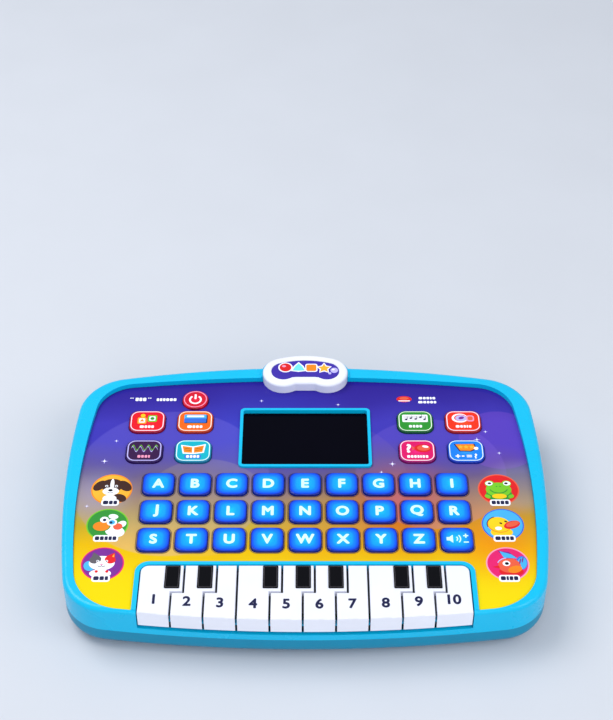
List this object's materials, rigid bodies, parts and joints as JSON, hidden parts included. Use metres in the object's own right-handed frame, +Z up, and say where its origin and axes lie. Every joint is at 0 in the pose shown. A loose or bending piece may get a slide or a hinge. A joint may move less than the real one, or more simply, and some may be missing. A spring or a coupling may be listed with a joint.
{
  "type": "toy learning computer",
  "caption": "Flat pad-style toy learning computer with letter keys, picture mode buttons, a small piano, a dark display window and a rounded badge at the back.",
  "frame": {"origin": "on the table under the middle of the pad's outline, badge bump included", "axes": "+X to the right, +Y from the player towards the back, +Z up"},
  "size_m": [0.25, 0.1844, 0.035],
  "materials": {
    "cyan_plastic": "glossy moulded plastic",
    "printed_face": "glossy printed sheet, purple at the back to yellow at the front",
    "dark_window": "smoked clear plastic",
    "display_module": "matt black housing with lamp pockets",
    "white_badge": "glossy white plastic",
    "board_laminate": "green laminate",
    "mat_rubber": "soft grey silicone rubber",
    "steel": "plated steel",
    "speaker_metal": "dark metal basket and magnet",
    "contact_metal": "nickel-plated spring steel",
    "foot_rubber": "matt black rubber",
    "blue_key": "glossy blue plastic with a darker edge",
    "red_button": "glossy red plastic",
    "orange_button": "glossy orange plastic",
    "purple_button": "glossy dark purple plastic",
    "turquoise_button": "glossy turquoise plastic",
    "green_button": "glossy green plastic",
    "orange_red_button": "glossy orange-red plastic",
    "magenta_button": "glossy magenta plastic",
    "blue_button": "glossy blue plastic",
    "power_red": "glossy crimson plastic",
    "white_key": "glossy white plastic"
  },
  "bodies": {
    "housing": {"front_shell": "cyan_plastic", "back_shell": "cyan_plastic", "face_overlay": "printed_face", "display_window": "dark_window", "led_matrix": "display_module", "badge": "white_badge", "circuit_board": "board_laminate", "contact_mat": "mat_rubber", "key_hinge_rod": "steel", "speaker": "speaker_metal", "battery_door": "cyan_plastic", "battery_contacts": "contact_metal", "screws": "steel", "rubber_feet": "foot_rubber"},
    "letter_key_a": {"letter_key_a": "blue_key"},
    "letter_key_b": {"letter_key_b": "blue_key"},
    "letter_key_c": {"letter_key_c": "blue_key"},
    "letter_key_d": {"letter_key_d": "blue_key"},
    "letter_key_e": {"letter_key_e": "blue_key"},
    "letter_key_f": {"letter_key_f": "blue_key"},
    "letter_key_g": {"letter_key_g": "blue_key"},
    "letter_key_h": {"letter_key_h": "blue_key"},
    "letter_key_i": {"letter_key_i": "blue_key"},
    "letter_key_j": {"letter_key_j": "blue_key"},
    "letter_key_k": {"letter_key_k": "blue_key"},
    "letter_key_l": {"letter_key_l": "blue_key"},
    "letter_key_m": {"letter_key_m": "blue_key"},
    "letter_key_n": {"letter_key_n": "blue_key"},
    "letter_key_o": {"letter_key_o": "blue_key"},
    "letter_key_p": {"letter_key_p": "blue_key"},
    "letter_key_q": {"letter_key_q": "blue_key"},
    "letter_key_r": {"letter_key_r": "blue_key"},
    "letter_key_s": {"letter_key_s": "blue_key"},
    "letter_key_t": {"letter_key_t": "blue_key"},
    "letter_key_u": {"letter_key_u": "blue_key"},
    "letter_key_v": {"letter_key_v": "blue_key"},
    "letter_key_w": {"letter_key_w": "blue_key"},
    "letter_key_x": {"letter_key_x": "blue_key"},
    "letter_key_y": {"letter_key_y": "blue_key"},
    "letter_key_z": {"letter_key_z": "blue_key"},
    "volume_key": {"volume_key": "blue_key"},
    "letter_button": {"letter_button": "red_button"},
    "word_button": {"word_button": "orange_button"},
    "spell_button": {"spell_button": "purple_button"},
    "read_button": {"read_button": "turquoise_button"},
    "song_button": {"song_button": "green_button"},
    "music_button": {"music_button": "orange_red_button"},
    "question_button": {"question_button": "magenta_button"},
    "sums_button": {"sums_button": "blue_button"},
    "power_button": {"power_button": "power_red"},
    "piano_key_1": {"piano_key_1": "white_key"},
    "piano_key_2": {"piano_key_2": "white_key"},
    "piano_key_3": {"piano_key_3": "white_key"},
    "piano_key_4": {"piano_key_4": "white_key"},
    "piano_key_5": {"piano_key_5": "white_key"},
    "piano_key_6": {"piano_key_6": "white_key"},
    "piano_key_7": {"piano_key_7": "white_key"},
    "piano_key_8": {"piano_key_8": "white_key"},
    "piano_key_9": {"piano_key_9": "white_key"},
    "piano_key_10": {"piano_key_10": "white_key"}
  },
  "joints": [
    {"name": "letter_key_a_press", "type": "slide", "parent": "housing", "child": "letter_key_a", "axis": [0, 0, -1], "range_m": [0, 0.0009], "stiffness_N_per_m": 300, "springref_m": -0.001, "deforming": ["contact_mat"]},
    {"name": "letter_key_b_press", "type": "slide", "parent": "housing", "child": "letter_key_b", "axis": [0, 0, -1], "range_m": [0, 0.0009], "stiffness_N_per_m": 300, "springref_m": -0.001},
    {"name": "letter_key_c_press", "type": "slide", "parent": "housing", "child": "letter_key_c", "axis": [0, 0, -1], "range_m": [0, 0.0009], "stiffness_N_per_m": 300, "springref_m": -0.001},
    {"name": "letter_key_d_press", "type": "slide", "parent": "housing", "child": "letter_key_d", "axis": [0, 0, -1], "range_m": [0, 0.0009], "stiffness_N_per_m": 300, "springref_m": -0.001},
    {"name": "letter_key_e_press", "type": "slide", "parent": "housing", "child": "letter_key_e", "axis": [0, 0, -1], "range_m": [0, 0.0009], "stiffness_N_per_m": 300, "springref_m": -0.001},
    {"name": "letter_key_f_press", "type": "slide", "parent": "housing", "child": "letter_key_f", "axis": [0, 0, -1], "range_m": [0, 0.0009], "stiffness_N_per_m": 300, "springref_m": -0.001},
    {"name": "letter_key_g_press", "type": "slide", "parent": "housing", "child": "letter_key_g", "axis": [0, 0, -1], "range_m": [0, 0.0009], "stiffness_N_per_m": 300, "springref_m": -0.001},
    {"name": "letter_key_h_press", "type": "slide", "parent": "housing", "child": "letter_key_h", "axis": [0, 0, -1], "range_m": [0, 0.0009], "stiffness_N_per_m": 300, "springref_m": -0.001},
    {"name": "letter_key_i_press", "type": "slide", "parent": "housing", "child": "letter_key_i", "axis": [0, 0, -1], "range_m": [0, 0.0009], "stiffness_N_per_m": 300, "springref_m": -0.001},
    {"name": "letter_key_j_press", "type": "slide", "parent": "housing", "child": "letter_key_j", "axis": [0, 0, -1], "range_m": [0, 0.0009], "stiffness_N_per_m": 300, "springref_m": -0.001},
    {"name": "letter_key_k_press", "type": "slide", "parent": "housing", "child": "letter_key_k", "axis": [0, 0, -1], "range_m": [0, 0.0009], "stiffness_N_per_m": 300, "springref_m": -0.001},
    {"name": "letter_key_l_press", "type": "slide", "parent": "housing", "child": "letter_key_l", "axis": [0, 0, -1], "range_m": [0, 0.0009], "stiffness_N_per_m": 300, "springref_m": -0.001},
    {"name": "letter_key_m_press", "type": "slide", "parent": "housing", "child": "letter_key_m", "axis": [0, 0, -1], "range_m": [0, 0.0009], "stiffness_N_per_m": 300, "springref_m": -0.001},
    {"name": "letter_key_n_press", "type": "slide", "parent": "housing", "child": "letter_key_n", "axis": [0, 0, -1], "range_m": [0, 0.0009], "stiffness_N_per_m": 300, "springref_m": -0.001},
    {"name": "letter_key_o_press", "type": "slide", "parent": "housing", "child": "letter_key_o", "axis": [0, 0, -1], "range_m": [0, 0.0009], "stiffness_N_per_m": 300, "springref_m": -0.001},
    {"name": "letter_key_p_press", "type": "slide", "parent": "housing", "child": "letter_key_p", "axis": [0, 0, -1], "range_m": [0, 0.0009], "stiffness_N_per_m": 300, "springref_m": -0.001},
    {"name": "letter_key_q_press", "type": "slide", "parent": "housing", "child": "letter_key_q", "axis": [0, 0, -1], "range_m": [0, 0.0009], "stiffness_N_per_m": 300, "springref_m": -0.001},
    {"name": "letter_key_r_press", "type": "slide", "parent": "housing", "child": "letter_key_r", "axis": [0, 0, -1], "range_m": [0, 0.0009], "stiffness_N_per_m": 300, "springref_m": -0.001},
    {"name": "letter_key_s_press", "type": "slide", "parent": "housing", "child": "letter_key_s", "axis": [0, 0, -1], "range_m": [0, 0.0009], "stiffness_N_per_m": 300, "springref_m": -0.001},
    {"name": "letter_key_t_press", "type": "slide", "parent": "housing", "child": "letter_key_t", "axis": [0, 0, -1], "range_m": [0, 0.0009], "stiffness_N_per_m": 300, "springref_m": -0.001},
    {"name": "letter_key_u_press", "type": "slide", "parent": "housing", "child": "letter_key_u", "axis": [0, 0, -1], "range_m": [0, 0.0009], "stiffness_N_per_m": 300, "springref_m": -0.001},
    {"name": "letter_key_v_press", "type": "slide", "parent": "housing", "child": "letter_key_v", "axis": [0, 0, -1], "range_m": [0, 0.0009], "stiffness_N_per_m": 300, "springref_m": -0.001},
    {"name": "letter_key_w_press", "type": "slide", "parent": "housing", "child": "letter_key_w", "axis": [0, 0, -1], "range_m": [0, 0.0009], "stiffness_N_per_m": 300, "springref_m": -0.001},
    {"name": "letter_key_x_press", "type": "slide", "parent": "housing", "child": "letter_key_x", "axis": [0, 0, -1], "range_m": [0, 0.0009], "stiffness_N_per_m": 300, "springref_m": -0.001},
    {"name": "letter_key_y_press", "type": "slide", "parent": "housing", "child": "letter_key_y", "axis": [0, 0, -1], "range_m": [0, 0.0009], "stiffness_N_per_m": 300, "springref_m": -0.001},
    {"name": "letter_key_z_press", "type": "slide", "parent": "housing", "child": "letter_key_z", "axis": [0, 0, -1], "range_m": [0, 0.0009], "stiffness_N_per_m": 300, "springref_m": -0.001},
    {"name": "volume_key_press", "type": "slide", "parent": "housing", "child": "volume_key", "axis": [0, 0, -1], "range_m": [0, 0.0009], "stiffness_N_per_m": 300, "springref_m": -0.001},
    {"name": "letter_button_press", "type": "slide", "parent": "housing", "child": "letter_button", "axis": [0, 0, -1], "range_m": [0, 0.0009], "stiffness_N_per_m": 300, "springref_m": -0.001},
    {"name": "word_button_press", "type": "slide", "parent": "housing", "child": "word_button", "axis": [0, 0, -1], "range_m": [0, 0.0009], "stiffness_N_per_m": 300, "springref_m": -0.001},
    {"name": "spell_button_press", "type": "slide", "parent": "housing", "child": "spell_button", "axis": [0, 0, -1], "range_m": [0, 0.0009], "stiffness_N_per_m": 300, "springref_m": -0.001},
    {"name": "read_button_press", "type": "slide", "parent": "housing", "child": "read_button", "axis": [0, 0, -1], "range_m": [0, 0.0009], "stiffness_N_per_m": 300, "springref_m": -0.001},
    {"name": "song_button_press", "type": "slide", "parent": "housing", "child": "song_button", "axis": [0, 0, -1], "range_m": [0, 0.0009], "stiffness_N_per_m": 300, "springref_m": -0.001},
    {"name": "music_button_press", "type": "slide", "parent": "housing", "child": "music_button", "axis": [0, 0, -1], "range_m": [0, 0.0009], "stiffness_N_per_m": 300, "springref_m": -0.001},
    {"name": "question_button_press", "type": "slide", "parent": "housing", "child": "question_button", "axis": [0, 0, -1], "range_m": [0, 0.0009], "stiffness_N_per_m": 300, "springref_m": -0.001},
    {"name": "sums_button_press", "type": "slide", "parent": "housing", "child": "sums_button", "axis": [0, 0, -1], "range_m": [0, 0.0009], "stiffness_N_per_m": 300, "springref_m": -0.001},
    {"name": "power_button_press", "type": "slide", "parent": "housing", "child": "power_button", "axis": [0, 0, -1], "range_m": [0, 0.0009], "stiffness_N_per_m": 300, "springref_m": -0.001},
    {"name": "piano_key_1_hinge", "type": "hinge", "parent": "housing", "child": "piano_key_1", "pos_m": [0, -0.05315, 0.024], "axis": [1, 0, 0], "range_deg": [0, 2.5], "stiffness_Nm_per_rad": 0.15, "springref_deg": -5.73},
    {"name": "piano_key_2_hinge", "type": "hinge", "parent": "housing", "child": "piano_key_2", "pos_m": [0, -0.05315, 0.024], "axis": [1, 0, 0], "range_deg": [0, 2.5], "stiffness_Nm_per_rad": 0.15, "springref_deg": -5.73},
    {"name": "piano_key_3_hinge", "type": "hinge", "parent": "housing", "child": "piano_key_3", "pos_m": [0, -0.05315, 0.024], "axis": [1, 0, 0], "range_deg": [0, 2.5], "stiffness_Nm_per_rad": 0.15, "springref_deg": -5.73},
    {"name": "piano_key_4_hinge", "type": "hinge", "parent": "housing", "child": "piano_key_4", "pos_m": [0, -0.05315, 0.024], "axis": [1, 0, 0], "range_deg": [0, 2.5], "stiffness_Nm_per_rad": 0.15, "springref_deg": -5.73},
    {"name": "piano_key_5_hinge", "type": "hinge", "parent": "housing", "child": "piano_key_5", "pos_m": [0, -0.05315, 0.024], "axis": [1, 0, 0], "range_deg": [0, 2.5], "stiffness_Nm_per_rad": 0.15, "springref_deg": -5.73},
    {"name": "piano_key_6_hinge", "type": "hinge", "parent": "housing", "child": "piano_key_6", "pos_m": [0, -0.05315, 0.024], "axis": [1, 0, 0], "range_deg": [0, 2.5], "stiffness_Nm_per_rad": 0.15, "springref_deg": -5.73},
    {"name": "piano_key_7_hinge", "type": "hinge", "parent": "housing", "child": "piano_key_7", "pos_m": [0, -0.05315, 0.024], "axis": [1, 0, 0], "range_deg": [0, 2.5], "stiffness_Nm_per_rad": 0.15, "springref_deg": -5.73},
    {"name": "piano_key_8_hinge", "type": "hinge", "parent": "housing", "child": "piano_key_8", "pos_m": [0, -0.05315, 0.024], "axis": [1, 0, 0], "range_deg": [0, 2.5], "stiffness_Nm_per_rad": 0.15, "springref_deg": -5.73},
    {"name": "piano_key_9_hinge", "type": "hinge", "parent": "housing", "child": "piano_key_9", "pos_m": [0, -0.05315, 0.024], "axis": [1, 0, 0], "range_deg": [0, 2.5], "stiffness_Nm_per_rad": 0.15, "springref_deg": -5.73},
    {"name": "piano_key_10_hinge", "type": "hinge", "parent": "housing", "child": "piano_key_10", "pos_m": [0, -0.05315, 0.024], "axis": [1, 0, 0], "range_deg": [0, 2.5], "stiffness_Nm_per_rad": 0.15, "springref_deg": -5.73}
  ]
}
